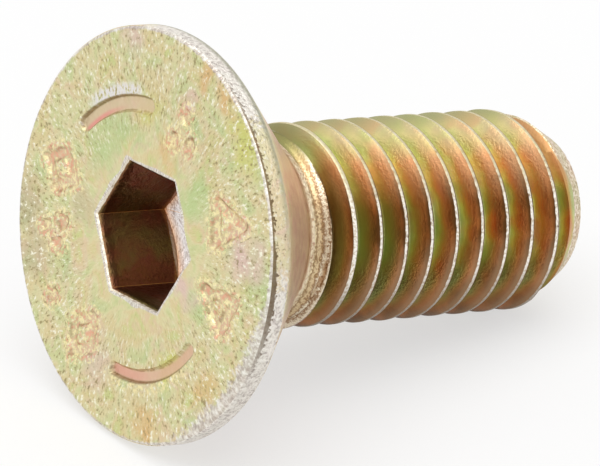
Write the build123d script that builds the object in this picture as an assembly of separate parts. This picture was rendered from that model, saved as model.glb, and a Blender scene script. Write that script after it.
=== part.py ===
from build123d import *
import math
import os

# Countersunk socket screw, M8 x 1.25 x 20, one forged and rolled piece of steel.
# Millimetres, +Z up. The screw is made head down about its own Z axis, flat face at
# height 0, and is then laid down on the rim of its head and the crest of its thread.

# Head
head_diameter = 16.0
face_bevel = 0.12  # worn edge of the flat face
facet_turn = 2.857  # half a facet, so that the rim lies on one and not on a corner
rim_height = 0.78  # straight band between the face and the seat
rim_break = 0.10  # small bevel between the band and the seat
seat_half_angle = 45.0  # half of the 90 degree countersink
neck_diameter = 7.2  # plain neck below the seat
neck_top = 5.6  # height where the shank starts to swell to crest size
neck_hollow = 0.35  # hollow where the seat runs into the neck

# Hexagon socket
key_size = 5.0  # across the flats
wall_depth = 3.2  # down to the foot of the corners
point_angle = 120.0  # cone at the bottom
mouth_bevel = 0.11  # bevel round the mouth: width
mouth_depth = 0.165  # and depth
drill_margin = 0.1  # the turned cut reaches this far outside the corners
point_flat = 0.02  # small flat at the very bottom
socket_turn = 24.8  # first corner of the hexagon, degrees about the axis

# Two plain arc grooves in the face, struck a little off centre: mid radius, width, ends
groove_centre = (0.55, 0.30)
groove_depth = 0.14
groove_arcs = [(5.45, 0.62, 126.0, 173.0), (4.96, 0.48, -60.0, -2.0)]

# Thread, right hand
thread_diameter = 7.94
pitch = 1.25
thread_depth = 0.73
crest_width = 0.17
flank_angle = 30.0  # half of the 60 degree thread
crest_clear = 0.06  # the groove is cut from this far outside the crest
crest_height = 1.339  # height of the crest at 0 degrees, less whole pitches
first_turn = 2  # whole turns of the groove, counted up from the face
last_turn = 14
run_out_low = 5.45  # the groove is filled below this height
run_out_high = 6.6  # and has its full depth above this one

# Tip
screw_length = 19.6
chamfer_height = 17.5
shoulder_height = 19.2
shoulder_diameter = 6.0
end_diameter = 4.7

head_radius = head_diameter / 2
neck_radius = neck_diameter / 2
crest_radius = thread_diameter / 2
root_radius = crest_radius - thread_depth
seat_slope = math.tan(math.radians(seat_half_angle))
seat_height = rim_height + rim_break
seat_radius = head_radius - rim_break * math.tan(math.radians(seat_half_angle / 2))
seat_foot = seat_height + (seat_radius - neck_radius) / seat_slope


def turned(points):
    """A solid turned about the Z axis from (radius, height) points."""
    outline = [(0, points[0][1])] + points + [(0, points[-1][1])]
    section = make_face(Polyline(*[(r, 0, z) for r, z in outline], close=True))
    return revolve(section, Axis.Z)


def circle_at(solid, radius, height, slack=0.01):
    """The round edge of a turned solid that has this radius and height."""
    rounds = solid.edges().filter_by(GeomType.CIRCLE)
    return [
        edge
        for edge in rounds
        if abs(edge.radius - radius) < slack and abs(edge.arc_center.Z - height) < slack
    ]


# Blank: face, rim, seat, plain neck, shank at crest size and chamfered tip.
shank_foot = neck_top + crest_radius - neck_radius
blank = turned(
    [
        (head_radius - face_bevel, 0),
        (head_radius, face_bevel),
        (head_radius, rim_height),
        (seat_radius, seat_height),
        (neck_radius, seat_foot),
        (neck_radius, neck_top),
        (crest_radius, shank_foot),
        (crest_radius, chamfer_height),
        (shoulder_diameter / 2, shoulder_height),
        (end_diameter / 2, screw_length),
    ]
)
blank = fillet(circle_at(blank, neck_radius, seat_foot), neck_hollow)
blank = Rot(0, 0, facet_turn) * blank

# Thread: a V groove with a flat root, swept one turn at a time so that every turn
# meets the next face to face. It fades out into the neck along a cone.
half_gap = (pitch - crest_width) / 2
flank_slope = math.tan(math.radians(flank_angle))
half_top = half_gap + crest_clear * flank_slope
half_root = half_gap - thread_depth * flank_slope
groove_section = [
    (crest_radius + crest_clear, -half_top),
    (root_radius, -half_root),
    (root_radius, half_root),
    (crest_radius + crest_clear, half_top),
]
run_out = turned(
    [
        (crest_radius + 2 * crest_clear, run_out_low - 2 * pitch),
        (crest_radius + 2 * crest_clear, run_out_low),
        (root_radius - crest_clear, run_out_high),
    ]
)
grooves = []
for turn in range(first_turn, last_turn + 1):
    start = crest_height + (turn + 0.5) * pitch
    path = Pos(0, 0, start) * Helix(pitch=pitch, height=pitch, radius=root_radius)
    section = make_face(
        Polyline(*[(r, 0, start + z) for r, z in groove_section], close=True)
    )
    groove = sweep(section, path=path, is_frenet=True)
    if start - half_top < run_out_high:
        groove = groove - run_out
    grooves.append(groove)
screw = blank - grooves

# Socket: hexagon with a bevelled mouth and a conical bottom.
hexagon = Rot(0, 0, socket_turn) * RegularPolygon(
    radius=key_size / 2, side_count=6, major_radius=False
)
corner_radius = key_size / 2 / math.cos(math.radians(30))
point_slope = math.tan(math.radians(point_angle / 2))
point_depth = wall_depth + corner_radius / point_slope
drill = turned(
    [
        (corner_radius + drill_margin, 0),
        (corner_radius + drill_margin, wall_depth - drill_margin / point_slope),
        (point_flat / 2, point_depth),
    ]
)
socket = extrude(hexagon, amount=point_depth) & drill
mouth_hexagon = Rot(0, 0, socket_turn) * RegularPolygon(
    radius=key_size / 2 + mouth_bevel, side_count=6, major_radius=False
)
mouth_taper = math.degrees(math.atan(mouth_bevel / mouth_depth))
mouth = extrude(mouth_hexagon, amount=mouth_depth, taper=mouth_taper)
screw = screw - socket - mouth

# Arc grooves in the flat face.
for radius, width, first, last in groove_arcs:
    middle = CenterArc(groove_centre, radius, first, last - first)
    screw = screw - extrude(SlotArc(arc=middle, height=width), amount=groove_depth)

# Laid down along +X, head at -X, resting on the rim and on the last full crest.
tilt = math.degrees(math.atan2(head_radius - crest_radius, chamfer_height - rim_height))
screw = Rot(0, 90 + tilt, 0) * screw
box = screw.bounding_box()
screw = Pos(-box.center().X, -box.center().Y, -box.min.Z) * screw

os.makedirs("parts", exist_ok=True)
export_step(screw, "parts/countersunk_screw.step")
print("tilt", round(tilt, 3), "box", box.size, "volume", round(screw.volume, 1))
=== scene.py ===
import math

import bmesh
import bpy
from mathutils import Euler, Matrix, Vector, noise


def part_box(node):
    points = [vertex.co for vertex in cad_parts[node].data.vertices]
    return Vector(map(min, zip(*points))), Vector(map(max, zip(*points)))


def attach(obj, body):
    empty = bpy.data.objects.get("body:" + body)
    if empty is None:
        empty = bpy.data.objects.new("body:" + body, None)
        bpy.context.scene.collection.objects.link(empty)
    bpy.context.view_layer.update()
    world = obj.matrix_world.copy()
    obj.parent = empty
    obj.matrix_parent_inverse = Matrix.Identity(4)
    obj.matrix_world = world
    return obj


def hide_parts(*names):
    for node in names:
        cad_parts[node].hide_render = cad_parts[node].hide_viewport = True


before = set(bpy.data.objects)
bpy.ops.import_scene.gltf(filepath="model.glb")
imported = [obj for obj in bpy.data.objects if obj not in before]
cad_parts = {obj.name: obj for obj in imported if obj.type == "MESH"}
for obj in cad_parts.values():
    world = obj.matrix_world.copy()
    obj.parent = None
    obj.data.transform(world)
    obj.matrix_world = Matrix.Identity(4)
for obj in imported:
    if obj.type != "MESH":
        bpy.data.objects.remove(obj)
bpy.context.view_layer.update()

# ---------------------------------------------------------------------------
# Head. Upset from the bar in a cold header, so face, rim and seat are one skin
# with the shank. The face is flat, the rim a short band, the seat a 90 degree
# cone that runs into the plain neck through a small hollow. Millimetres here.
# ---------------------------------------------------------------------------
head_radius = 8.0
face_bevel = 0.12
rim_height = 0.78
rim_break = 0.10
seat_angle = math.radians(45)
neck_radius = 3.6
neck_hollow = 0.35
neck_foot = 5.5  # where the rings of the head are joined to those of the shank
key_size = 5.0
wall_depth = 3.2
point_slope = math.tan(math.radians(60))  # the bottom is a 120 degree cone
mouth_bevel = 0.11
mouth_slope = 1.5
socket_turn = math.radians(24.8)
head_steps = 480
hollow_steps = 4
weld_gap = 0.0001
near = 0.01  # less than the step from any ring to the next

corner_share = math.cos(math.radians(30))  # a hexagon's flats over its corners
corner_radius = key_size / 2 / corner_share
mouth_radius = (key_size / 2 + mouth_bevel) / corner_share
mouth_depth = mouth_bevel * mouth_slope
point_depth = wall_depth + corner_radius / point_slope
round_from = 4.3  # the face rings are true circles from this radius on
fine_to = 6.2  # and closely spaced up to this one
seat_radius = head_radius - rim_break * math.tan(seat_angle / 2)
seat_foot = rim_height + rim_break + (seat_radius - neck_radius) / math.tan(seat_angle)


def profile_line(bm, points):
    """Edges through (radius, height, cuts) points, each cut as often as its end says."""
    verts = [bm.verts.new((radius, 0, height)) for radius, height, cuts in points]
    edges = [bm.edges.new(pair) for pair in zip(verts, verts[1:])]
    for edge, (radius, height, cuts) in zip(edges, points[1:]):
        if cuts:
            bmesh.ops.subdivide_edges(bm, edges=[edge], cuts=cuts)


def hollow_points(count):
    """The arc between the seat and the neck, as (radius, height, cuts) points."""
    centre_radius = neck_radius + neck_hollow
    centre_height = seat_foot + neck_hollow * math.tan(seat_angle / 2)
    points = []
    for step in range(count + 1):
        turn = math.pi + seat_angle * (1 - step / count)
        radius = centre_radius + neck_hollow * math.cos(turn)
        points.append((radius, centre_height + neck_hollow * math.sin(turn), 0))
    return points


screw = bmesh.new()
hollow = hollow_points(hollow_steps)
profile_line(
    screw,
    [
        (0, point_depth, 0),
        (corner_radius, wall_depth, 5),
        (corner_radius, mouth_depth, 8),
        (mouth_radius, 0, 2),
        (round_from, 0, 14),
        (fine_to, 0, 30),
        (head_radius - face_bevel, 0, 20),
        (head_radius, face_bevel, 2),
        (head_radius, rim_height, 5),
        (seat_radius, rim_height + rim_break, 1),
        (*hollow[0][:2], 12),
        *hollow[1:],
        (neck_radius, neck_foot, 0),
    ],
)
bmesh.ops.rotate(
    screw, verts=screw.verts[:], cent=(0, 0, 0), matrix=Matrix.Rotation(socket_turn, 3, "Z")
)
bmesh.ops.spin(
    screw,
    geom=screw.verts[:] + screw.edges[:],
    cent=(0, 0, 0),
    axis=(0, 0, 1),
    angle=math.tau,
    steps=head_steps,
    use_merge=True,
)
bmesh.ops.remove_doubles(screw, verts=screw.verts[:], dist=weld_gap)

# ---------------------------------------------------------------------------
# Socket. The hexagon is punched into the round head with a pointed punch, so it
# has flat walls, a conical bottom and a rolled mouth, and the face around it is
# drawn in a little. The turned rings of the head are pressed to that shape.
# ---------------------------------------------------------------------------
side_turn = math.radians(60)  # from one corner of the hexagon to the next


def smooth(low, high, value):
    """0 below low, 1 above high and a soft step between."""
    share = min(1.0, max(0.0, (value - low) / (high - low)))
    return share * share * (3 - 2 * share)


def hexagon_share(point):
    """How far the hexagon reaches towards this point, with its corners as 1."""
    angle = math.atan2(point.y, point.x)
    from_flat = (angle - socket_turn) % side_turn - side_turn / 2
    return corner_share / math.cos(from_flat)


for vert in screw.verts:
    radius = vert.co.xy.length
    if radius > round_from or vert.co.z > point_depth + near or radius < near:
        continue
    if vert.co.z > rim_height and radius > corner_radius + near:
        continue  # on the seat or the neck
    share = hexagon_share(vert.co)
    share += (1 - share) * smooth(mouth_radius, round_from, radius)
    vert.co.x *= share
    vert.co.y *= share
    floor = wall_depth + (corner_radius - radius * share) / point_slope
    if radius < corner_radius - near:
        vert.co.z = floor
    elif vert.co.z > mouth_depth:
        depth_share = (vert.co.z - mouth_depth) / (wall_depth - mouth_depth)
        vert.co.z = mouth_depth + (floor - mouth_depth) * depth_share

# ---------------------------------------------------------------------------
# Struck face. Two plain arc grooves, struck a little off centre, and a ring of
# plain generic punch marks, pressed into the face by the header's die. The
# rings of the face are drawn to the grooves' own centre so their edges run true.
# ---------------------------------------------------------------------------
groove_centre = Vector((0.55, 0.30))
groove_depth = 0.14
groove_wall = 0.05  # half the width of the sloping wall
groove_side = 0.06  # nearer than this to the groove is its floor or its wall
lip_reach = 0.7
upper_arc = (5.45, 0.30, 127.5, 171.5)  # radius, half width, first and last angle
lower_arc = (4.96, 0.24, -60.0, -2.0)
drawn_to = 7.7  # the rings beyond this radius keep the head's own centre
mark_depth = 0.10
mark_stroke = 0.20  # half the width of a stroke
dot_radius = 0.26  # each dot of a mark of three dots
mark_stretch = 1.25  # the marks are longer along the radius
mark_margin = 0.3  # a point this far outside a mark is out of its reach
mark_side = 0.4  # and nearer than this it takes the mark's tint
marks = [  # radius, angle, shape, size, turn
    (5.60, 95.3, "diamond", 0.74, 0),
    (5.56, 70.1, "dots", 0.52, 20),
    (6.38, 46.8, "dot", 0.28, 0),
    (5.58, 25.4, "diamond", 0.74, 0),
    (4.75, -165.9, "dots", 0.56, -20),
    (5.20, -117.0, "triangle", 0.86, 12),
    (5.30, -81.4, "triangle", 0.86, 190),
]
ragged_edge = 0.03  # how far a pressed edge wanders
face_drop = 0.02  # the face lies this deep, so that no burr passes the head's end
burr_height = 0.018
burr_reach = 0.30
dent_depth = 0.014
fine_dent_depth = 0.008
dented_from = 3.6  # dents and burrs fade out from this radius in to the mouth
mouth_bare = 0.17  # width of the bare zinc beside the mouth
mouth_ragged = 0.12
mouth_fade = 0.06
mouth_wander = 0.006  # how far the rolled edge wanders, over its radius
mouth_reach = 0.3
corner_line = 0.997  # beyond this share of a corner's reach is its edge


def arc_distance(point, radius, half_width, first, last):
    """Distance in millimetres from the edge of an arc groove, less than 0 inside it."""
    across = point - groove_centre
    angle = math.degrees(math.atan2(across.y, across.x))
    middle = (first + last) / 2
    off_middle = (angle - middle + 180) % 360 - 180
    half_arc = (last - first) / 2
    if abs(off_middle) <= half_arc:
        return abs(across.length - radius) - half_width
    end = math.radians(middle + math.copysign(half_arc, off_middle))
    end_point = Vector((math.cos(end), math.sin(end))) * radius
    return (across - end_point).length - half_width


def bar_distance(point, start, end):
    """Distance from a straight line between two points."""
    along = end - start
    share = min(1.0, max(0.0, (point - start).dot(along) / along.length_squared))
    return (point - start - along * share).length


def mark_distance(point, radius, angle, shape, size, turn):
    """Distance from the edge of one punch mark, less than 0 inside its strokes."""
    angle = math.radians(angle)
    centre = Vector((math.cos(angle), math.sin(angle))) * radius
    across = point - centre
    if across.length > 2 * size + mark_margin:
        return 1.0
    across.rotate(Matrix.Rotation(-angle, 2))
    across.x /= mark_stretch
    across.rotate(Matrix.Rotation(-math.radians(turn), 2))
    if shape == "dot":
        return across.length - size
    count = 4 if shape == "diamond" else 3
    turns = [math.tau * k / count for k in range(count)]
    corners = [Vector((math.cos(turn), math.sin(turn))) * size for turn in turns]
    if shape == "dots":
        return min((across - corner).length for corner in corners) - dot_radius
    sides = [bar_distance(across, corners[k], corners[k - 1]) for k in range(count)]
    return min(sides) - mark_stroke


sunk_layer = screw.verts.layers.float.new("sunk")  # 1 on the floor of a groove
worn_layer = screw.verts.layers.float.new("worn")  # 1 where the film is rubbed off
wall_shade_layer = screw.verts.layers.float.new("wall_shade")  # 1 where a groove's outer wall or a crack takes painted shade
blush_layer = screw.verts.layers.float.new("blush")  # 1 where a floor is pink
lip_layer = screw.verts.layers.float.new("lip")  # 1 silver, -0.4 a painted gold highlight, -0.8 in a mark, which takes that highlight as well
edge_highlight_layer = screw.verts.layers.float.new("edge_highlight")  # 1 on the socket's inner edges, for a painted highlight line


def rub_mouth(vert, gap):
    """Bares the rolled edge of the mouth, gap away, and lets it wander a little."""
    bare_to = mouth_bare + mouth_ragged * noise.noise(vert.co * 1.3)
    vert[worn_layer] = 1 - smooth(bare_to - mouth_fade, bare_to + mouth_fade, gap)
    push = mouth_wander * noise.noise(vert.co * 4) * (1 - smooth(0.1, 0.25, gap))
    vert.co.x *= 1 + push
    vert.co.y *= 1 + push


def tint_groove(vert, arcs, across, upper):
    """Pink floor, painted shade on the outer wall, and a bright lip that is silver on the upper
    arc and a painted gold highlight on the lower, arcs from this point.
    """
    angle = math.degrees(math.atan2(across.y, across.x))
    radius = across.length
    lip = 1 - smooth(0.25, 0.62, arcs)
    if upper:  # pinkest inside at its first end, with a silver lip at its middle
        arc_radius, lip_from, least_blush = upper_arc[0], 5.6, 0
        blush = (1 - smooth(135, 160, angle)) * (1 - smooth(5.28, 5.44, radius))
        lip *= smooth(130, 142, angle) * (1 - smooth(160, 170, angle))
    else:  # pinkest at its last end, with a painted gold highlight along the whole lip
        arc_radius, lip_from, least_blush = lower_arc[0], 5.1, 0.3
        blush = 0.6 * smooth(-45, -10, angle)
        lip *= -0.4 * smooth(-64, -48, angle)
    if arcs < groove_side:
        vert[blush_layer] = max(blush, least_blush)
        if radius < arc_radius:
            vert[wall_shade_layer] = 0
    elif arcs < lip_reach and radius > lip_from:
        vert[lip_layer] = lip


def strike(vert, radius):
    """Presses grooves, marks, burrs and dents into the face, and tints them."""
    pull = smooth(mouth_radius, round_from, radius) * (1 - smooth(fine_to, drawn_to, radius))
    vert.co.x += groove_centre.x * pull
    vert.co.y += groove_centre.y * pull
    point = vert.co.xy
    ragged = ragged_edge * noise.noise(vert.co * 2.7)
    arcs = min(arc_distance(point, *arc) for arc in (upper_arc, lower_arc))
    struck = min(mark_distance(point, *mark) for mark in marks) + 3 * ragged
    depth = groove_depth * (1 - smooth(-groove_wall, groove_wall, arcs + 0.3 * ragged))
    depth = max(depth, mark_depth * (1 - smooth(-0.10, 0.08, struck)))
    edge = min(arcs, struck)
    burr = burr_height * (1 - smooth(0.03, burr_reach, edge)) * smooth(-0.02, 0.02, edge)
    dents = dent_depth * noise.noise(vert.co * 0.9)
    dents += fine_dent_depth * noise.noise(vert.co * 4.1)
    vert.co.z += depth + (face_drop + dents - burr) * smooth(mouth_radius, dented_from, radius)
    mark_floor = 1 - smooth(-0.16, 0.10, struck)
    vert[sunk_layer] = max(1 - smooth(-0.12, 0.03, arcs), 0.75 * mark_floor)
    # Painted shade along the grooves' walls; tint_groove takes it off the inner wall.
    vert[wall_shade_layer] = 1 - smooth(0.02, 0.08, abs(arcs))
    tint_groove(vert, arcs, point - groove_centre, point.x < 0)
    if struck < mark_side:
        vert[lip_layer] = -0.8 * (1 - smooth(0.15, mark_side, struck))
        # Painted shade in dark cracks along the marks' edges.
        crack = smooth(-0.1, 0.25, noise.noise(vert.co * 2.1))
        vert[wall_shade_layer] = 0.7 * crack * (1 - smooth(0.03, 0.08, abs(struck)))


for vert in screw.verts:
    radius = vert.co.xy.length
    share = hexagon_share(vert.co)
    wall_gap = radius - corner_radius * share
    # The socket's inner edges get a painted highlight line.
    if wall_gap < near and mouth_depth < vert.co.z < point_depth:
        on_foot = abs(wall_gap) < near < vert.co.z - wall_depth
        if share > corner_line or on_foot:
            vert[edge_highlight_layer] = 1
    mouth_gap = abs(radius - (corner_radius + mouth_radius) / 2 * share)
    if vert.co.z < mouth_depth + near and mouth_gap < mouth_reach:
        rub_mouth(vert, mouth_gap)
    if vert.co.z <= near and radius <= head_radius - face_bevel + near:
        strike(vert, radius)

# ---------------------------------------------------------------------------
# Thread and tip. The thread is rolled between dies: the crests are drawn up and
# stay narrow and rough, the roots are smooth, and the last turn fades out into
# the neck. The tip is chamfered before rolling, so the first turns run down it.
# ---------------------------------------------------------------------------
crest_radius = 3.97
pitch = 1.25
thread_depth = 0.73
crest_width = 0.17
flank_slope = math.tan(math.radians(30))
crest_height = 1.339
run_out_low = 5.45
run_out_high = 6.6
run_out_above = 0.12  # the run-out starts this far above the crests
run_out_below = 0.06  # and ends this far below the roots
neck_top = 5.6
chamfer_height = 17.5
shoulder_height = 19.2
shoulder_radius = 3.0
end_radius = 2.35
screw_length = 19.6
end_rings = (0.08, 0.5, 0.6, 0.6)
thread_steps = 216
first_crest = 2
last_crest = 15
edge_snap = 0.05  # rungs this near to an edge of the blank are moved to it
crest_rough = 0.02

root_radius = crest_radius - thread_depth
shank_foot = neck_top + crest_radius - neck_radius
half_crest = crest_width / 2
half_foot = half_crest + thread_depth * flank_slope
half_pitch = pitch / 2
# Rungs of one half of a crest, from its middle down the flank to the root's edge.
half_turn_heights = [0.0, 0.7 * half_crest, 1.15 * half_crest, 0.20, 0.31, 0.42, half_foot + 0.02]


def line_between(low, high, value):
    """Value on the straight line between two (height, radius) points."""
    share = (value - low[0]) / (high[0] - low[0])
    return low[1] + (high[1] - low[1]) * share


def blank_radius(height):
    """Outside of the shank before rolling, with its foot and chamfered tip."""
    shoulder = (shoulder_height, shoulder_radius)
    if height < shank_foot:
        swell = line_between((neck_top, neck_radius), (shank_foot, crest_radius), height)
        return max(neck_radius, swell)
    if height < chamfer_height:
        return crest_radius
    if height < shoulder_height:
        return line_between((chamfer_height, crest_radius), shoulder, height)
    return line_between(shoulder, (screw_length, end_radius), height)


def thread_radius(from_crest):
    """Radius of the rolled thread at this distance along the axis from a crest."""
    depth = (abs(from_crest) - half_crest) / flank_slope
    return crest_radius - min(thread_depth, max(0.0, depth))


def from_crest(turn, height):
    """Distance along the axis from the nearest crest, more than 0 on its tip side."""
    phase = (height - crest_height) / pitch - turn / math.tau
    return (phase - round(phase)) * pitch


def formed_radius(turn, height):
    """Radius of the finished shank: rolled thread, its run-out and the blank's ends."""
    full = (run_out_high, root_radius - run_out_below)
    faded = (run_out_low, crest_radius + run_out_above)
    rolled = max(thread_radius(from_crest(turn, height)), line_between(full, faded, height))
    return min(blank_radius(height), rolled)


shank = bmesh.new()
heights = []
for crest in range(first_crest, last_crest + 1):
    middle = crest_height + crest * pitch
    heights += [middle - step for step in reversed(half_turn_heights[1:])]
    heights += [middle + step for step in half_turn_heights]
    heights.append(middle + half_pitch)
rungs = [shank.verts.new((1, 0, height)) for height in heights]
for lower, upper in zip(rungs, rungs[1:]):
    shank.edges.new((lower, upper))
bmesh.ops.spin(
    shank,
    geom=shank.verts[:] + shank.edges[:],
    cent=(0, 0, 0),
    axis=(0, 0, 1),
    dvec=(0, 0, pitch / thread_steps),
    angle=math.tau,
    steps=thread_steps,
)
bmesh.ops.remove_doubles(shank, verts=shank.verts[:], dist=weld_gap)
for vert in shank.verts:
    turn = math.atan2(vert.co.y, vert.co.x)
    height = min(screw_length, max(neck_foot, vert.co.z))
    for edge in (shoulder_height, chamfer_height, shank_foot):
        if abs(height - edge) < edge_snap:
            height = edge
    radius = formed_radius(turn, height)
    crest = smooth(0.6, 1.0, (radius - root_radius) / thread_depth)
    if height > neck_foot:
        radius -= crest_rough * crest * (0.5 + noise.noise(vert.co * 3.1))
    vert.co = (radius * math.cos(turn), radius * math.sin(turn), height)
bmesh.ops.remove_doubles(shank, verts=shank.verts[:], dist=5 * weld_gap)
shank_mesh = bpy.data.meshes.new("shank_of_the_screw")
shank.to_mesh(shank_mesh)
screw.from_mesh(shank_mesh)
shank.free()
bpy.data.meshes.remove(shank_mesh)


def open_edges(bm, height):
    """The open edges that lie at this height."""
    return [
        edge
        for edge in bm.edges
        if edge.is_boundary and all(abs(vert.co.z - height) < 2 * near for vert in edge.verts)
    ]


bmesh.ops.bridge_loops(screw, edges=open_edges(screw, neck_foot))
tip = bmesh.ops.contextual_create(screw, geom=open_edges(screw, screw_length))["faces"]
for inset in end_rings:
    bmesh.ops.inset_region(screw, faces=tip, thickness=inset)
bmesh.ops.poke(screw, faces=tip)
bmesh.ops.recalc_face_normals(screw, faces=screw.faces[:])

# ---------------------------------------------------------------------------
# Laid down. The screw lies as it comes to rest on a bench, on the rim of its
# head and on the last full crest of its thread, so its axis is a little tilted.
# ---------------------------------------------------------------------------
tilt = math.atan2(head_radius - crest_radius, chamfer_height - rim_height)
node_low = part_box("countersunk_screw")[0]
millimetre = 0.001
face_reach = (head_radius - face_bevel) * math.sin(tilt)
rim_reach = head_radius * math.cos(tilt) + rim_height * math.sin(tilt)
lie = Matrix.Rotation(math.radians(90) + tilt, 4, "Y")
place = Vector((node_low.x / millimetre + face_reach, 0, node_low.z / millimetre + rim_reach))
bare_side = math.radians(165)  # here the chamfer is rubbed bare from its edge on
bare_lag = 0.9  # and elsewhere from this far down it
sharp_edge = math.radians(40)

crest_layer = screw.verts.layers.float.new("crest")  # 0 on a root to 1 on a crest
flank_layer = screw.verts.layers.float.new("flank")  # above 0 on flanks that face the tip
worn_layer = screw.verts.layers.float["worn"]
for vert in screw.verts:
    if vert.co.z < neck_foot - near:
        continue
    turn = math.atan2(vert.co.y, vert.co.x)
    radius = formed_radius(turn, vert.co.z)
    vert[crest_layer] = (radius - root_radius) / thread_depth
    vert[flank_layer] = math.sin(math.pi * from_crest(turn, vert.co.z) / half_pitch)
    on_blank = 1 - smooth(0.0, 0.06, blank_radius(vert.co.z) - radius)
    bare_from = chamfer_height + bare_lag * (1 - smooth(0.3, 0.9, math.cos(turn - bare_side)))
    vert[worn_layer] = on_blank * smooth(bare_from, bare_from + 0.4, vert.co.z)
face_region, socket_region, rim_region, thread_region = range(4)
for face in screw.faces:
    face.smooth = True
    middle = face.calc_center_median()
    if middle.z > neck_foot:
        face.material_index = thread_region
    elif (
        middle.xy.length < mouth_radius * hexagon_share(middle)
        and middle.z < point_depth + 0.1
    ):
        face.material_index = socket_region
    elif middle.z < rim_height / 2 and middle.xy.length < head_radius - face_bevel / 2:
        face.material_index = face_region
    else:
        face.material_index = rim_region
for edge in screw.edges:
    if edge.is_manifold and edge.calc_face_angle() > sharp_edge:
        edge.smooth = False
bmesh.ops.transform(
    screw,
    verts=screw.verts[:],
    matrix=Matrix.Scale(millimetre, 4) @ Matrix.Translation(place) @ lie,
)
screw_mesh = bpy.data.meshes.new("plated_screw")
screw.to_mesh(screw_mesh)
screw.free()
plated_screw = bpy.data.objects.new("plated_screw", screw_mesh)
bpy.context.scene.collection.objects.link(plated_screw)
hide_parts("countersunk_screw")
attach(plated_screw, "root")

# ---------------------------------------------------------------------------
# Plating. Zinc, dipped in yellow chromate. The film is thin and uneven, so it
# shows gold, olive, green and pink in clouds, and it is rubbed off the edges.
# ---------------------------------------------------------------------------


def tone(red, green, blue):
    """A colour from its 0 to 255 values as seen, as the shader's own linear ones."""
    shares = [channel / 255 for channel in (red, green, blue)]
    return (*[s / 12.92 if s <= 0.04045 else ((s + 0.055) / 1.055) ** 2.4 for s in shares], 1)


def new_group(name, inputs, outputs):
    """An empty shader node group with (name, kind, default) inputs and (name, kind) outputs."""
    group = bpy.data.node_groups.new(name, "ShaderNodeTree")
    for socket, kind, default in inputs:
        made = group.interface.new_socket(socket, in_out="INPUT", socket_type=kind)
        if default is not None:
            made.default_value = default
    for socket, kind in outputs:
        group.interface.new_socket(socket, in_out="OUTPUT", socket_type=kind)
    ends = group.nodes.new("NodeGroupInput"), group.nodes.new("NodeGroupOutput")
    return group, ends[0].outputs, ends[1].inputs


def fill(tree, node, values):
    """Sets the inputs of a node, or links them where the value is another node's socket."""
    for socket, value in values.items():
        if isinstance(value, bpy.types.NodeSocket):
            tree.links.new(value, node.inputs[socket])
        else:
            node.inputs[socket].default_value = value


def add(tree, kind, values=(), **settings):
    """A node in this tree with its settings and its inputs, given as values or as links."""
    node = tree.nodes.new(kind)
    for name, value in settings.items():
        setattr(node, name, value)
    fill(tree, node, dict(values))
    return node


def ramp(tree, factor, stops):
    """A colour ramp over factor, with (place, colour) stops."""
    node = add(tree, "ShaderNodeValToRGB", {"Fac": factor})
    elements = node.color_ramp.elements
    while len(elements) < len(stops):
        elements.new(0.5)
    for element, (position, colour) in zip(elements, stops):
        element.position = position
        element.color = colour
    return node.outputs["Color"]


def mixed(tree, factor, first, second):
    """Two colours mixed by factor."""
    values = {0: factor, 6: first, 7: second}
    return add(tree, "ShaderNodeMix", values, data_type="RGBA").outputs[2]


def math_of(tree, operation, first, second):
    """A Math node of this operation."""
    return add(tree, "ShaderNodeMath", {0: first, 1: second}, operation=operation).outputs[0]


def times(tree, first, second):
    """The product of two values, such as a mask and the side that it is kept to."""
    return math_of(tree, "MULTIPLY", first, second)


def vector_of(tree, operation, first, second=(0, 0, 0)):
    """A Vector Math node of this operation."""
    node = add(tree, "ShaderNodeVectorMath", {0: first, 1: second}, operation=operation)
    return node.outputs["Vector"]


def spread(tree, value, low, high, to_low=0.0, to_high=1.0):
    """A value spread from one range to another, clamped."""
    ends = {"From Min": low, "From Max": high, "To Min": to_low, "To Max": to_high}
    return add(tree, "ShaderNodeMapRange", {"Value": value, **ends}).outputs["Result"]


def clouds(tree, vector, per_mm, detail, output="Fac", **more):
    """Soft noise with this many lumps in a millimetre."""
    values = {"Vector": vector, "Scale": per_mm, "Detail": detail, **more}
    return add(tree, "ShaderNodeTexNoise", values).outputs[output]


def placed(tree, group, values):
    """The outputs of a node group placed in this tree with its own values."""
    return add(tree, "ShaderNodeGroup", values, node_tree=group).outputs


# Chromate film: clouds of colour at two sizes, from olive gold to green and pink.
chromate, given, made = new_group(
    "chromate_film",
    [
        ("Vector", "NodeSocketVector", None),
        ("Cloud Size", "NodeSocketFloat", 1.6),
        ("Pink", "NodeSocketFloat", 0.5),
    ],
    [("Color", "NodeSocketColor")],
)
clouds_per_mm = math_of(chromate, "DIVIDE", 1.0, given["Cloud Size"])
film = ramp(
    chromate,
    clouds(chromate, given["Vector"], clouds_per_mm, 3.0, Distortion=0.6),
    [
        (0.30, tone(202, 210, 156)),
        (0.42, tone(214, 214, 160)),
        (0.50, tone(224, 216, 170)),
        (0.58, tone(224, 208, 160)),
        (0.70, tone(210, 212, 148)),
    ],
)
blush_per_mm = times(chromate, clouds_per_mm, 1.37)
blush = clouds(chromate, given["Vector"], blush_per_mm, 2.0, "Color", Distortion=1.1)
blush = add(chromate, "ShaderNodeSeparateColor", {"Color": blush}).outputs["Green"]
blush = times(chromate, spread(chromate, blush, 0.52, 0.68), given["Pink"])
chromate.links.new(mixed(chromate, blush, film, tone(230, 196, 178)), made["Color"])

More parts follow.
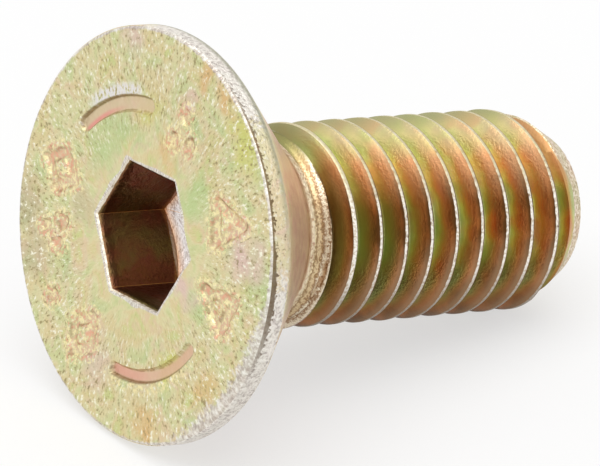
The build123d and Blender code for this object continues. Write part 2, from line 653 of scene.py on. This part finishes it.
# Grain: the crystals of the zinc as small lumps, with painted glints on their tops and painted
# shade in their pits.
grain, given, made = new_group(
    "zinc_grain_glints_and_pit_shade",
    [("Vector", "NodeSocketVector", None), ("Grain Size", "NodeSocketFloat", 0.16)],
    [("Height", "NodeSocketFloat"), ("Glint", "NodeSocketFloat"), ("Pit_Shade", "NodeSocketFloat")],
)
grains_per_mm = math_of(grain, "DIVIDE", 1.0, given["Grain Size"])
lumps = clouds(grain, given["Vector"], grains_per_mm, 3.0, Roughness=0.65)
grain.links.new(lumps, made["Height"])
grain.links.new(spread(grain, lumps, 0.57, 0.66), made["Glint"])
grain.links.new(spread(grain, lumps, 0.43, 0.33), made["Pit_Shade"])

# Rubbed edges: the film worn to bare zinc, ragged along the edge.
rubbed, given, made = new_group(
    "rubbed_edge",
    [
        ("Vector", "NodeSocketVector", None),
        ("Edge", "NodeSocketFloat", 0.0),
        ("Ragged", "NodeSocketFloat", 0.8),
    ],
    [("Mask", "NodeSocketFloat")],
)
chips = clouds(rubbed, given["Vector"], 5.0, 4.0, Roughness=0.7)
chips = times(rubbed, math_of(rubbed, "SUBTRACT", chips, 0.5), given["Ragged"])
edge = math_of(rubbed, "ADD", given["Edge"], chips)
rubbed.links.new(spread(rubbed, edge, 0.42, 0.60), made["Mask"])


def attribute(tree, name):
    """A value stored on the screw's own mesh."""
    return add(tree, "ShaderNodeAttribute", attribute_name=name).outputs["Fac"]


def new_plating(name):
    """A metal material in the screw's own millimetres, with the axis along Z."""
    material = bpy.data.materials.new(name)
    material.use_nodes = True
    tree = material.node_tree
    shader = tree.nodes["Principled BSDF"]
    shader.inputs["Metallic"].default_value = 1.0
    back = Euler((0, -(math.radians(90) + tilt), 0))
    own = add(
        tree,
        "ShaderNodeMapping",
        {
            "Vector": add(tree, "ShaderNodeTexCoord").outputs["Object"],
            "Location": -(back.to_matrix() @ place),
            "Rotation": back,
            "Scale": (1 / millimetre,) * 3,
        },
    ).outputs["Vector"]
    plated_screw.data.materials.append(material)
    return tree, shader, own


def side_of(tree, own, angle, half_width, fade):
    """1 on the side of the screw round this angle about its axis, and 0 elsewhere."""
    # In degrees, with 0 underneath as the screw lies, 180 on top and -90 the near side.
    flat = vector_of(tree, "MULTIPLY", own, (1, 1, 0))
    flat = vector_of(tree, "NORMALIZE", flat)
    angle = math.radians(angle)
    middle = (math.cos(angle), math.sin(angle), 0)
    facing = add(tree, "ShaderNodeVectorMath", {0: flat, 1: middle}, operation="DOT_PRODUCT")
    low, high = (math.cos(math.radians(half_width + side * fade)) for side in (1, -1))
    return spread(tree, facing.outputs["Value"], low, high)


def finish(tree, shader, colour, roughness, height, strength, depth):
    """Gives the plating its colour, gloss and relief, with the relief's depth in metres."""
    relief = {"Height": height, "Strength": strength, "Distance": depth}
    normal = add(tree, "ShaderNodeBump", relief).outputs["Normal"]
    fill(tree, shader, {"Base Color": colour, "Roughness": roughness, "Normal": normal})


# Face: grain drawn out along the radius, clouds of film, pink floors in the marks,
# and the rim rubbed bare where the head has knocked against others.
green, lilac, orange = tone(194, 210, 150), tone(226, 198, 186), tone(226, 186, 128)
lime, smoke = tone(212, 212, 112), tone(192, 178, 148)
# Painted shade for the grain's pits and painted glints for its tops.
pit_shade_olive, glint_cream = tone(158, 142, 98), tone(253, 249, 226)
floor_tan, floor_pink, mark_pink = tone(220, 192, 164), tone(232, 158, 146), tone(236, 168, 142)
highlight_gold, lip_silver, wall_shade_brown = tone(254, 240, 186), tone(236, 232, 228), tone(120, 80, 54)
dull_zinc, bright_zinc = tone(196, 184, 180), tone(244, 240, 236)
grain_circle = 5.5  # the grain is as wide at any radius as it is here
grain_draw = 0.5  # and this share as fine along the radius
cloud_drift = 2.4  # how far the edges of the stains wander
stain_core = 0.3  # share of a stain's size that has its full strength
stains = [  # place across the face in millimetres, size, colour and strength
    (-2.1, 3.6, 1.3, green, 0.8),
    (-3.3, 2.6, 1.2, green, 0.8),
    (-2.6, -2.7, 1.2, green, 0.9),
    (1.0, -4.0, 0.9, green, 0.7),
    (-0.9, -7.5, 1.4, green, 0.8),
    (-4.9, -1.7, 0.7, green, 0.8),
    (1.1, -3.1, 0.9, lilac, 0.9),
    (-1.5, -6.2, 1.4, lilac, 0.9),
    (-5.8, -1.1, 0.6, lilac, 0.7),
    (-7.2, 2.7, 1.0, lilac, 0.7),
    (5.8, 1.3, 1.3, lilac, 0.6),
    (-7.3, -1.7, 0.8, orange, 0.8),
    (-6.8, -3.3, 0.8, orange, 0.8),
    (3.9, -5.4, 1.0, orange, 0.6),
    (7.0, -2.4, 1.0, orange, 0.8),
    (-3.6, -0.4, 0.8, orange, 0.6),
    (-5.9, -4.9, 1.6, lime, 0.7),
    (4.1, -2.8, 0.8, lime, 0.7),
    (-4.6, 1.2, 0.9, lime, 0.5),
    (0.2, 3.7, 0.9, smoke, 0.4),
    (1.6, 7.2, 1.6, smoke, 0.6),
    (3.4, 6.2, 1.4, smoke, 0.5),
]

tree, shader, own = new_plating("struck_face_plating")
flat = vector_of(tree, "MULTIPLY", own, (1, 1, 0))
radius = add(tree, "ShaderNodeVectorMath", {0: flat}, operation="LENGTH").outputs["Value"]
around = vector_of(tree, "NORMALIZE", flat)
around = vector_of(tree, "MULTIPLY", around, (grain_circle, grain_circle, 0))
outward = add(tree, "ShaderNodeCombineXYZ", {"Z": times(tree, radius, grain_draw)})
drawn_out = vector_of(tree, "ADD", around, outward.outputs[0])
face_grain = placed(tree, grain, {"Vector": drawn_out, "Grain Size": 0.115})
colour = placed(tree, chromate, {"Vector": own, "Cloud Size": 1.2, "Pink": 0.35})["Color"]

drift = vector_of(tree, "SUBTRACT", clouds(tree, own, 0.9, 3.0, "Color"), (0.5, 0.5, 0.5))
drift = vector_of(tree, "MULTIPLY", drift, (cloud_drift, cloud_drift, 0))
drifted = vector_of(tree, "ADD", flat, drift)
for x, y, size, stain, strength in stains:
    gap = add(tree, "ShaderNodeVectorMath", {0: drifted, 1: (x, y, 0)}, operation="DISTANCE")
    amount = spread(tree, gap.outputs["Value"], size, stain_core * size, 0.0, strength)
    colour = mixed(tree, amount, colour, stain)

# The grain is flattened round the socket and on the floor of the grooves, and with it its painted
# glints and its painted shade in the pits.
sunk = attribute(tree, "sunk")
lumps = face_grain["Height"]
calm = spread(tree, radius, 3.4, 5.0, 0.2, 1.0)
rough = times(tree, calm, spread(tree, sunk, 0.0, 0.9, 1.0, 0.15))
pit_shade = times(tree, times(tree, face_grain["Pit_Shade"], rough), 0.85)
colour = mixed(tree, pit_shade, colour, pit_shade_olive)
colour = mixed(tree, times(tree, face_grain["Glint"], rough), colour, glint_cream)

# Floors, walls and lips of what is struck: painted shade on the walls and in cracks, and painted
# gold highlights on some lips.
colour = mixed(tree, times(tree, sunk, 0.7), colour, floor_tan)
colour = mixed(tree, times(tree, attribute(tree, "blush"), sunk), colour, floor_pink)
lip = attribute(tree, "lip")
soft_grain = placed(tree, grain, {"Vector": own, "Grain Size": 0.22})["Height"]
ruddy = times(tree, spread(tree, lip, -0.42, -0.8), spread(tree, soft_grain, 0.50, 0.38))
colour = mixed(tree, times(tree, ruddy, 0.7), colour, mark_pink)
# Painted gold highlights in patches on the lower groove's lip and round the marks.
gold_highlight = times(tree, spread(tree, lip, 0.0, -0.4), spread(tree, soft_grain, 0.50, 0.60))
colour = mixed(tree, times(tree, gold_highlight, 0.8), colour, highlight_gold)
silver = times(tree, spread(tree, lip, 0.0, 0.8), spread(tree, lumps, 0.42, 0.50))
colour = mixed(tree, silver, colour, lip_silver)
# Painted shade on the grooves' outer walls and in the marks' cracks.
wall_shade = spread(tree, attribute(tree, "wall_shade"), 0.1, 0.9, 0.0, 0.6)
colour = mixed(tree, wall_shade, colour, wall_shade_brown)

# Bare zinc round the socket's mouth, along the rim and where the rim was knocked.
knocked = times(tree, spread(tree, radius, 6.7, 8.1), side_of(tree, own, -62, 30, 16))
knocked = math_of(tree, "MAXIMUM", knocked, attribute(tree, "worn"))
knocked = math_of(tree, "MAXIMUM", knocked, spread(tree, radius, 7.72, 8.0))
bare = placed(tree, rubbed, {"Vector": drawn_out, "Edge": knocked, "Ragged": 1.0})["Mask"]
bare_zinc = mixed(tree, spread(tree, lumps, 0.4, 0.6), dull_zinc, bright_zinc)
colour = mixed(tree, times(tree, bare, 0.8), colour, bare_zinc)
gloss = spread(tree, lumps, 0.3, 0.7, 0.48, 0.30)
finish(tree, shader, colour, gloss, lumps, spread(tree, rough, 0, 1, 0.15, 0.9), 0.00008)

# Socket: painted shade makes the walls dark brown, with blotches of film; painted light makes the
# cone that faces the mouth pale; and the film is rubbed bright round the mouth.
maroon, olive_brown = tone(126, 40, 30), tone(112, 106, 50)
lit_point_pink, lit_point_green = tone(254, 248, 246), tone(228, 255, 176)
edge_highlight_orange, mouth_zinc = tone(236, 176, 112), tone(236, 226, 208)

tree, shader, own = new_plating("punched_socket_plating")
depth = add(tree, "ShaderNodeSeparateXYZ", {"Vector": own}).outputs["Z"]
socket_film = placed(tree, chromate, {"Vector": own, "Cloud Size": 1.8, "Pink": 0.8})["Color"]
# Painted shade of the hole: dark brown below the mouth, in blotches of maroon and olive brown.
socket_shade = ramp(
    tree,
    spread(tree, depth, 0.0, point_depth),
    [
        (0.00, tone(180, 156, 104)),
        (0.03, tone(104, 72, 44)),
        (0.10, tone(128, 78, 46)),
        (0.65, tone(112, 60, 38)),
    ],
)
blotch = spread(tree, clouds(tree, own, 0.55, 3.0), 0.48, 0.64)
socket_shade = mixed(tree, 0.5, socket_shade, mixed(tree, blotch, maroon, olive_brown))
colour = mixed(tree, 0.94, socket_film, socket_shade)
# Painted light on the cone at the bottom, pale where light comes in through the mouth, pink on the
# near side and green elsewhere.
low_point = side_of(tree, own, -84, 34, 14)
lit_point = spread(tree, depth, wall_depth + near, wall_depth + 0.06, 0.0, 0.98)
colour = mixed(tree, lit_point, colour, mixed(tree, low_point, lit_point_pink, lit_point_green))
# Painted highlight lines in orange along the socket's inner edges.
edge_highlight = spread(tree, attribute(tree, "edge_highlight"), 0.3, 1.0, 0.0, 0.7)
colour = mixed(tree, edge_highlight, colour, edge_highlight_orange)
mouth = spread(tree, depth, 0.12, 0.02)
bare = placed(tree, rubbed, {"Vector": own, "Edge": mouth, "Ragged": 0.7})["Mask"]
colour = mixed(tree, bare, colour, mouth_zinc)
lumps = placed(tree, grain, {"Vector": own, "Grain Size": 0.22})["Height"]
finish(tree, shader, colour, 0.34, lumps, 0.6, 0.00008)

# Rim, seat and neck: cream and brown film, knocked bare low on the rim, with a dark
# fold along the edge of the face and drawn streaks on the seat.
rim_cream, rim_pit_shade, rim_glint = tone(232, 214, 186), tone(120, 98, 62), tone(248, 242, 226)
rim_dull_zinc, rim_zinc = tone(198, 190, 186), tone(246, 242, 236)
behind_grey, fold_brown = tone(156, 156, 130), tone(104, 82, 50)
seat_rose, seat_tan, ledge_highlight_cream = tone(186, 136, 116), tone(206, 172, 142), tone(244, 230, 200)

tree, shader, own = new_plating("rim_and_seat_plating")
height = add(tree, "ShaderNodeSeparateXYZ", {"Vector": own}).outputs["Z"]
rim_grain = placed(tree, grain, {"Vector": own, "Grain Size": 0.15})
lumps = rim_grain["Height"]
rim_film = placed(tree, chromate, {"Vector": own, "Cloud Size": 1.3, "Pink": 0.9})["Color"]
colour = mixed(tree, 0.45, rim_film, rim_cream)
# Painted shade in the grain's pits and painted glints on its tops.
colour = mixed(tree, times(tree, rim_grain["Pit_Shade"], 0.7), colour, rim_pit_shade)
colour = mixed(tree, times(tree, rim_grain["Glint"], 0.8), colour, rim_glint)

# The rim: bare where it was knocked, grey at its back on top, and folded dark along
# the edge of the face on the near side.
on_rim = spread(tree, height, rim_height + 0.2, rim_height)
knocked_low = times(tree, on_rim, side_of(tree, own, -62, 40, 16))
knocked_top = times(tree, on_rim, side_of(tree, own, 190, 28, 12))
knocked = times(tree, math_of(tree, "MAXIMUM", knocked_low, knocked_top), 0.8)
bare = placed(tree, rubbed, {"Vector": own, "Edge": knocked, "Ragged": 0.9})["Mask"]
bare_zinc = mixed(tree, spread(tree, lumps, 0.36, 0.56), rim_dull_zinc, rim_zinc)
colour = mixed(tree, times(tree, bare, 0.85), colour, bare_zinc)
behind = times(tree, side_of(tree, own, 196, 44, 20), on_rim)
behind = times(tree, behind, spread(tree, height, rim_height - 0.22, rim_height))
colour = mixed(tree, times(tree, behind, 0.8), colour, behind_grey)
fold = spread(tree, lumps, 0.30, 0.55, 0.34, 0.16)
deeper = spread(tree, side_of(tree, own, -92, 10, 9), 0, 1, 0.0, 0.14)
fold = math_of(tree, "ADD", fold, deeper)
fold = math_of(tree, "SUBTRACT", fold, height)
fold = times(tree, spread(tree, fold, 0.0, 0.05), side_of(tree, own, -116, 38, 14))
colour = mixed(tree, times(tree, fold, 0.85), colour, fold_brown)

# The seat and the neck: streaks down the cone, and a painted highlight on a ledge above the
# thread.
seat = spread(tree, height, rim_height + rim_break, rim_height + 0.4)
streaks = clouds(tree, vector_of(tree, "MULTIPLY", own, (1, 1, 0.12)), 2.2, 3.0)
seat_film = mixed(tree, spread(tree, streaks, 0.35, 0.65), seat_rose, seat_tan)
seat_film = mixed(tree, spread(tree, height, 0.9, 2.2, 0.75, 0.2), seat_film, rim_film)
colour = mixed(tree, seat, colour, seat_film)
ledge_highlight = times(tree, spread(tree, height, 5.30, 5.38), spread(tree, lumps, 0.40, 0.48))
ledge_highlight = times(tree, side_of(tree, own, -105, 60, 24), ledge_highlight)
colour = mixed(tree, ledge_highlight, colour, ledge_highlight_cream)
finish(tree, shader, colour, 0.38, lumps, 0.8, 0.0001)

# Thread: the film lies thick and green in the roots and turns orange and brown up the flanks,
# where the brown near the crests is partly film and partly painted shade of the dark that the
# flanks reflect; the film is rubbed off the crests.
olive, russet, groove_green = tone(148, 166, 96), tone(196, 112, 66), tone(138, 148, 82)
peach, pale_green, crown_grey = tone(238, 186, 140), tone(196, 214, 128), tone(168, 170, 122)
sheen_tan, underside_shade_brown, tip_flank_shade_grey = tone(186, 150, 116), tone(74, 54, 30), tone(100, 90, 60)
foot_olive, crest_dull, crest_bright = tone(126, 122, 72), tone(214, 200, 176), tone(253, 249, 240)
crest_gold, crest_shade_brown = tone(200, 188, 138), tone(104, 84, 64)
end_rose, end_glint, end_pit_shade = tone(190, 156, 136), tone(250, 240, 226), tone(132, 104, 78)
last_tan = tone(190, 140, 96)

tree, shader, own = new_plating("rolled_thread_plating")
height = add(tree, "ShaderNodeSeparateXYZ", {"Vector": own}).outputs["Z"]
crest = attribute(tree, "crest")
tip_side = attribute(tree, "flank")
lumps = placed(tree, grain, {"Vector": own, "Grain Size": 0.11})["Height"]
patches = clouds(tree, own, 0.5, 2.0)
on_shoulder = side_of(tree, own, 206, 18, 16)
on_top = side_of(tree, own, 168, 30, 14)
on_crown = side_of(tree, own, 150, 20, 12)
on_near = side_of(tree, own, -98, 34, 20)
on_low = side_of(tree, own, 300, 26, 16)
shaded_underside = side_of(tree, own, 322, 22, 24)

# Roots to crests, with the steps between colours shifted up and down in patches.
shift = spread(tree, clouds(tree, own, 0.8, 3.0), 0.3, 0.7, -0.15, 0.15)
up_flank = math_of(tree, "ADD", crest, shift)
# Film colour from root to crest, with the brown and dark brown near the crest partly painted
# shade.
colour = ramp(
    tree,
    up_flank,
    [
        (0.00, tone(190, 192, 144)),
        (0.14, tone(204, 204, 128)),
        (0.24, tone(190, 178, 96)),
        (0.42, tone(206, 150, 82)),
        (0.58, tone(190, 120, 66)),
        (0.80, tone(136, 84, 44)),
        (0.94, tone(92, 60, 30)),
    ],
)
green_patch = times(tree, spread(tree, patches, 0.50, 0.62), spread(tree, crest, 0.7, 0.2))
colour = mixed(tree, times(tree, green_patch, 0.6), colour, olive)
red_patch = times(tree, spread(tree, patches, 0.48, 0.38), spread(tree, crest, 0.9, 0.4))
colour = mixed(tree, times(tree, red_patch, 0.5), colour, russet)
first_grooves = times(tree, on_near, spread(tree, height, 11.5, 9.5))
first_grooves = times(tree, first_grooves, spread(tree, crest, 0.85, 0.4, 0.0, 0.75))
colour = mixed(tree, first_grooves, colour, groove_green)

# Peach on the shoulder and paler on top, the paleness painted light where the light falls; a
# painted tan sheen low down; painted shade in brown underneath and in grey on the flanks that face
# the tip.
rosy = times(tree, on_shoulder, spread(tree, up_flank, 0.25, 0.55, 0.2, 0.6))
rosy = times(tree, rosy, spread(tree, crest, 0.7, 0.95, 1.0, 0.45))
colour = mixed(tree, rosy, colour, peach)
# Painted light on top: a paler film with peach and green patches, and grey on the crown.
painted_top_light = ramp(
    tree,
    up_flank,
    [(0.1, tone(204, 216, 132)), (0.5, tone(228, 218, 150)), (0.9, tone(214, 198, 150))],
)
painted_top_light = mixed(tree, spread(tree, patches, 0.48, 0.40, 0.0, 0.6), painted_top_light, peach)
painted_top_light = mixed(tree, spread(tree, patches, 0.52, 0.62, 0.0, 0.5), painted_top_light, pale_green)
painted_top_light = mixed(tree, times(tree, on_crown, 0.85), painted_top_light, crown_grey)
colour = mixed(tree, times(tree, on_top, 0.9), colour, painted_top_light)
# A painted sheen in tan near the crests low down.
sheen = times(tree, on_low, spread(tree, crest, 0.5, 0.85))
colour = mixed(tree, times(tree, sheen, 0.55), colour, sheen_tan)
# Painted shade in brown underneath.
underside_shade = times(tree, shaded_underside, spread(tree, crest, 1.0, 0.55, 0.0, 0.6))
colour = mixed(tree, underside_shade, colour, underside_shade_brown)
# Painted shade in grey on the flanks that face the tip, near their crests.
tip_flank_shade = times(tree, spread(tree, tip_side, 0.2, 0.5), spread(tree, crest, 0.5, 0.8))
colour = mixed(tree, times(tree, tip_flank_shade, 0.8), colour, tip_flank_shade_grey)

# The foot of the shank: pale and dark stripes, painted highlights and shade of fine rolled ridges,
# where the thread fades out in the neck.
wavy = math_of(tree, "ADD", height, spread(tree, lumps, 0.3, 0.7, -0.08, 0.08))
ridge_light_and_shade = ramp(
    tree,
    spread(tree, wavy, neck_foot, run_out_high + 0.4),
    [
        (0.00, tone(236, 218, 182)),
        (0.06, tone(136, 104, 70)),
        (0.13, tone(226, 204, 164)),
        (0.18, tone(140, 104, 66)),
        (0.26, tone(246, 236, 210)),
        (0.32, tone(140, 100, 60)),
        (0.40, tone(244, 232, 206)),
        (0.48, tone(150, 110, 66)),
        (0.56, tone(206, 180, 134)),
        (0.64, tone(112, 80, 42)),
        (1.00, tone(104, 76, 40)),
    ],
)
on_foot = spread(tree, height, run_out_high + 0.5, run_out_high + 0.1)
on_foot = times(tree, on_foot, spread(tree, on_top, 0.0, 0.8, 0.9, 0.15))
colour = mixed(tree, on_foot, colour, ridge_light_and_shade)
top_of_foot = times(tree, on_top, spread(tree, height, 7.2, 6.5, 0.0, 0.8))
colour = mixed(tree, top_of_foot, colour, foot_olive)

# Bare crests, golden on top and in painted shade of brown underneath, and the bare chamfer of the
# tip with painted glints and pit shade on its grain.
first_turn = spread(tree, height, run_out_high + 1.6, run_out_high + 0.8, 0.0, 0.035)
edge = spread(tree, math_of(tree, "ADD", crest, first_turn), 0.95, 1.03)
edge = math_of(tree, "SUBTRACT", edge, spread(tree, tip_side, 0.16, 0.42))
edge = times(tree, edge, spread(tree, height, run_out_high - 0.2, run_out_high + 0.2))
end_zinc = attribute(tree, "worn")
edge = math_of(tree, "MAXIMUM", edge, end_zinc)
bare = placed(tree, rubbed, {"Vector": own, "Edge": edge, "Ragged": 0.75})["Mask"]
crest_zinc = mixed(tree, spread(tree, lumps, 0.40, 0.52), crest_dull, crest_bright)
golden = math_of(tree, "MAXIMUM", on_top, on_shoulder)
crest_zinc = mixed(tree, times(tree, golden, 0.75), crest_zinc, crest_gold)
# Painted shade: the bare crests brown underneath.
crest_zinc = mixed(tree, times(tree, shaded_underside, 0.7), crest_zinc, crest_shade_brown)
thread_film = placed(tree, chromate, {"Vector": own, "Cloud Size": 1.5, "Pink": 0.5})["Color"]
end_film = mixed(tree, 0.5, thread_film, end_rose)
# Painted glints on the grain's tops and painted shade in its pits on the chamfer.
end_film = mixed(tree, spread(tree, lumps, 0.48, 0.60, 0.0, 0.8), end_film, end_glint)
end_film = mixed(tree, spread(tree, lumps, 0.44, 0.34, 0.0, 0.7), end_film, end_pit_shade)
crest_zinc = mixed(tree, end_zinc, crest_zinc, end_film)
colour = mixed(tree, bare, colour, crest_zinc)
last_groove = times(tree, side_of(tree, own, 180, 36, 16), spread(tree, height, 16.9, 17.6))
last_groove = times(tree, last_groove, spread(tree, bare, 1.0, 0.0, 0.0, 0.9))
colour = mixed(tree, last_groove, colour, last_tan)
dull = math_of(tree, "MAXIMUM", bare, last_groove)
finish(tree, shader, colour, spread(tree, dull, 0, 1, 0.27, 0.5), lumps, 0.3, 0.00005)

# ---------------------------------------------------------------------------
# Stand, light and camera. A plain white table under a soft even sky, with one
# broad lamp above and to the left.
# ---------------------------------------------------------------------------
floor_size = 4.0
floor_glow = 0.6  # share of the table's white that shows whatever the light
sky_light = 0.66
lamp_place = Vector((-0.10, -0.05, 0.55))
lamp_aim = Vector((0, 0, 0.005))
lamp_size = 0.6
lamp_power = 1.7
camera_place = (-0.1622614, -0.2208854, 0.1501656)
camera_tilt, camera_turn = 27.855, -36.050
camera_lens = 481.6
camera_film = 36


def seen_straight(tree):
    """1 for what the camera, a mirror or glass sees, and 0 for soft light."""
    rays = add(tree, "ShaderNodeLightPath").outputs
    seen = math_of(tree, "MAXIMUM", rays["Is Camera Ray"], rays["Is Glossy Ray"])
    return math_of(tree, "MAXIMUM", seen, rays["Is Transmission Ray"])


floor_bm = bmesh.new()
bmesh.ops.create_grid(floor_bm, x_segments=1, y_segments=1, size=floor_size)
floor_mesh = bpy.data.meshes.new("table_top")
floor_bm.to_mesh(floor_mesh)
floor_bm.free()
table_top = bpy.data.objects.new("table_top", floor_mesh)
bpy.context.scene.collection.objects.link(table_top)
table_paint = bpy.data.materials.new("table_paint")
table_paint.use_nodes = True
tree = table_paint.node_tree
paint = tree.nodes["Principled BSDF"]
fill(
    tree,
    paint,
    {"Base Color": (0.95, 0.95, 0.95, 1), "Roughness": 0.9, "Specular IOR Level": 0.0},
)
glow = add(tree, "ShaderNodeEmission", {"Color": (1, 1, 1, 1), "Strength": 1.0})
surface = add(
    tree,
    "ShaderNodeMixShader",
    {
        "Fac": spread(tree, seen_straight(tree), 0, 1, 0.0, floor_glow),
        1: paint.outputs["BSDF"],
        2: glow.outputs["Emission"],
    },
)
tree.links.new(surface.outputs[0], tree.nodes["Material Output"].inputs["Surface"])
table_top.data.materials.append(table_paint)

sky = bpy.data.worlds.new("soft_sky")
sky.use_nodes = True
bpy.context.scene.world = sky
tree = sky.node_tree
sky_strength = spread(tree, seen_straight(tree), 0, 1, sky_light, 1.0)
fill(tree, tree.nodes["Background"], {"Color": (1, 1, 1, 1), "Strength": sky_strength})

lamp_data = bpy.data.lights.new("overhead_lamp", "AREA")
lamp_data.size = lamp_size
lamp_data.energy = lamp_power
lamp = bpy.data.objects.new("overhead_lamp", lamp_data)
lamp.location = lamp_place
lamp.rotation_euler = (lamp_place - lamp_aim).to_track_quat("Z", "Y").to_euler()
lamp.visible_camera = False
bpy.context.scene.collection.objects.link(lamp)

camera_data = bpy.data.cameras.new("view")
camera_data.lens = camera_lens
camera_data.sensor_width = camera_film
camera_data.clip_start = 0.01
camera_data.clip_end = 20
camera = bpy.data.objects.new("view", camera_data)
camera.location = camera_place
camera.rotation_euler = (math.radians(90 - camera_tilt), 0, math.radians(camera_turn))
bpy.context.scene.collection.objects.link(camera)
bpy.context.scene.camera = camera
bpy.context.scene.view_settings.view_transform = "Standard"
